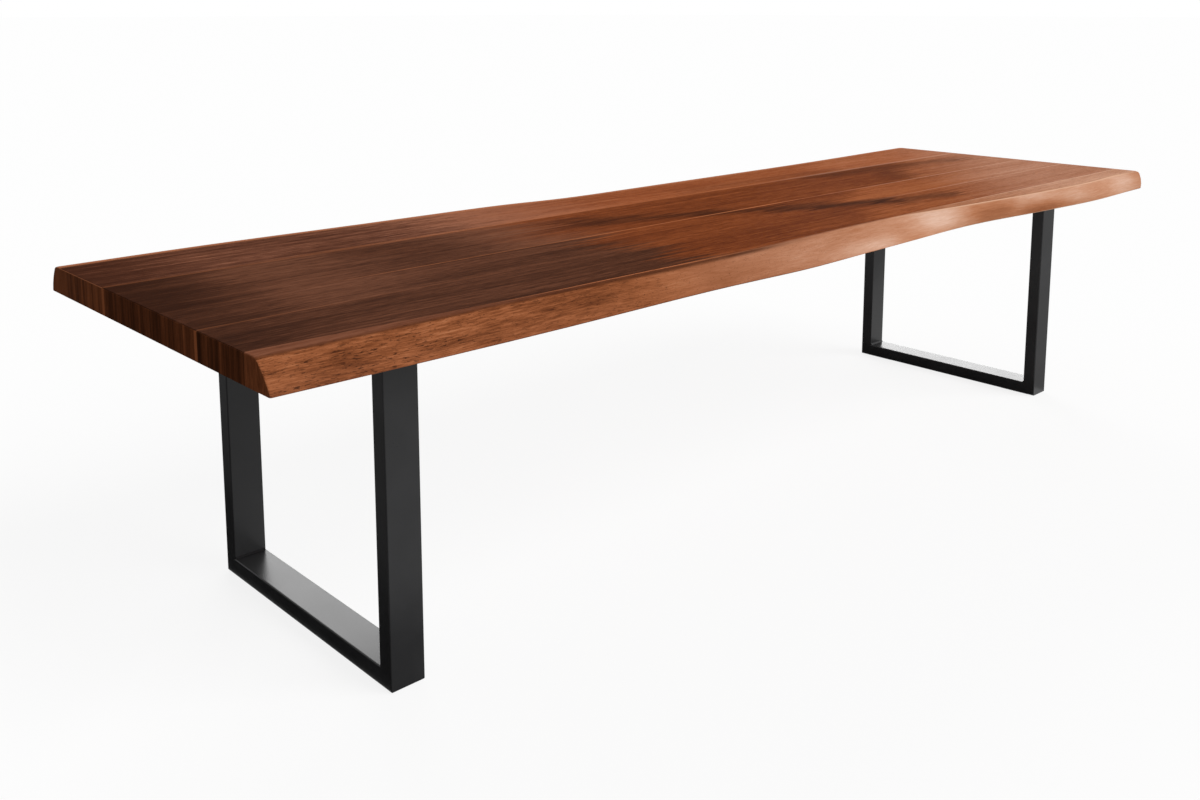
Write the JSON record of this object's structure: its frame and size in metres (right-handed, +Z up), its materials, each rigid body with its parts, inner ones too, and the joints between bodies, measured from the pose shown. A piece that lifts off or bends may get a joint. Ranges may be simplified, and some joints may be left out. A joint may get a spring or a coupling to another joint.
{
  "type": "live edge dining table",
  "caption": "Long dining table: glued-up solid wood top with wavy live edges on U-shaped frames of rectangular steel tube.",
  "frame": {"origin": "on the floor, in the middle of the two frames, which is the middle of the table's footprint to within the wander of its live edges", "axes": "+X along the table, +Z up; -Y is the long side with the lighter live edge"},
  "size_m": [3.3, 1.0395, 0.768],
  "materials": {
    "oiled_wood": "satin",
    "sapwood_edge": "satin",
    "plywood_tongue": "matte",
    "black_steel": "satin",
    "felt": "matte",
    "black_fasteners": "satin",
    "zinc_inserts": "satin"
  },
  "bodies": {
    "root": {"far_edge_plank": "oiled_wood", "far_board": "oiled_wood", "middle_board": "oiled_wood", "near_board": "oiled_wood", "near_edge_plank": "sapwood_edge", "far_tongue": "plywood_tongue", "middle_tongue": "plywood_tongue", "near_tongue": "plywood_tongue", "edge_tongue": "plywood_tongue", "left_near_post": "black_steel", "left_far_post": "black_steel", "left_runner": "black_steel", "left_mounting_plate": "black_steel", "left_felt_pads": "felt", "left_frame_bolts": "black_fasteners", "left_thread_inserts": "zinc_inserts", "left_flattening_channel": "black_steel", "left_channel_screws": "black_fasteners", "right_near_post": "black_steel", "right_far_post": "black_steel", "right_runner": "black_steel", "right_mounting_plate": "black_steel", "right_felt_pads": "felt", "right_frame_bolts": "black_fasteners", "right_thread_inserts": "zinc_inserts", "right_flattening_channel": "black_steel", "right_channel_screws": "black_fasteners"}
  },
  "joints": []
}
